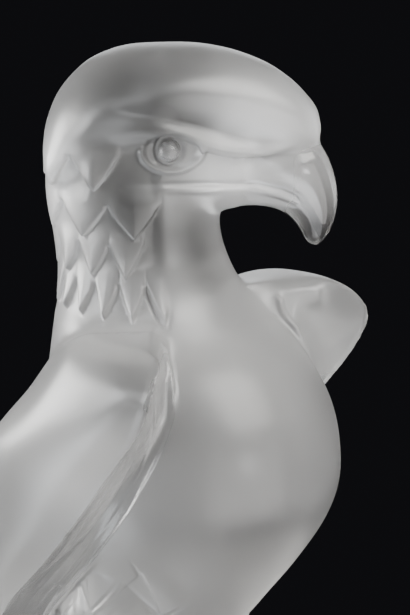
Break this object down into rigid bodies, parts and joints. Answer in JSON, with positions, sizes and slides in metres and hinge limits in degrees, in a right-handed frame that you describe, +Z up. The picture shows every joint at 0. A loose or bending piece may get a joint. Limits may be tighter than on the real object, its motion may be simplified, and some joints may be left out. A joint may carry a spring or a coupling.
{
  "type": "crystal eagle sculpture",
  "caption": "Perched eagle cast in satin-frosted crystal, head turned to its left over a full breast, wings half open, on a low oval plinth; a free-standing ornament for a table or shelf",
  "frame": {"origin": "centre of the plinth's flat underside", "axes": "+Z up, -Y the way the breast faces, +X the bird's left; the head is turned 40 degrees from -Y towards +X"},
  "size_m": [0.1114, 0.1287, 0.238],
  "materials": {
    "frosted_crystal": "colourless crystal, satin-etched all over, with the beak, the eyes and the front edges of the wings left polished and clear"
  },
  "bodies": {
    "root": {"crystal_eagle": "frosted_crystal"}
  },
  "joints": []
}
